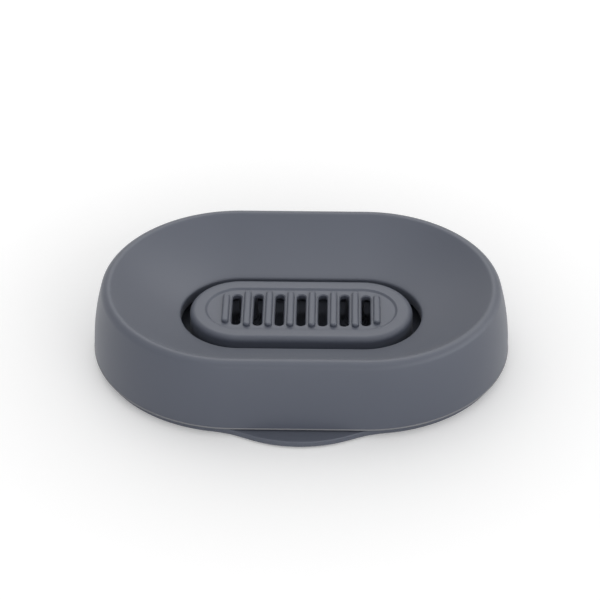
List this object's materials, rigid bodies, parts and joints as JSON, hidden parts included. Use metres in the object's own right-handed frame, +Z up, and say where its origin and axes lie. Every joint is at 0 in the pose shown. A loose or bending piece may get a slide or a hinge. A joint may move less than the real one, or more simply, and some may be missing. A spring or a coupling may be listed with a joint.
{
  "type": "draining soap dish",
  "caption": "Oval draining soap dish: funnel-shaped shell over a drip tray with a pouring lip, and a raised ribbed soap rest in the opening.",
  "frame": {"origin": "on the table, under the middle of the footprint, pouring lip included", "axes": "+Z up, +X along the dish's length, and the pouring lip points to -Y"},
  "size_m": [0.14, 0.102, 0.027],
  "materials": {
    "shell_plastic": "soft-touch matt, slate blue-grey",
    "tray_plastic": "soft-touch matt, slate blue-grey",
    "rest_plastic": "soft-touch matt, slate blue-grey",
    "foot_rubber": "matt"
  },
  "bodies": {
    "tray": {"drip_tray": "tray_plastic", "foot_pad_front_left": "foot_rubber", "foot_pad_front_right": "foot_rubber", "foot_pad_back_left": "foot_rubber", "foot_pad_back_right": "foot_rubber"},
    "shell": {"shell": "shell_plastic"},
    "rest": {"soap_rest": "rest_plastic"}
  },
  "joints": [
    {"name": "shell_lift", "type": "slide", "parent": "tray", "child": "shell", "axis": [0, 0, 1], "range_m": [0, 0.045]},
    {"name": "rest_lift", "type": "slide", "parent": "tray", "child": "rest", "axis": [0, 0, 1], "range_m": [0, 0.08]}
  ]
}
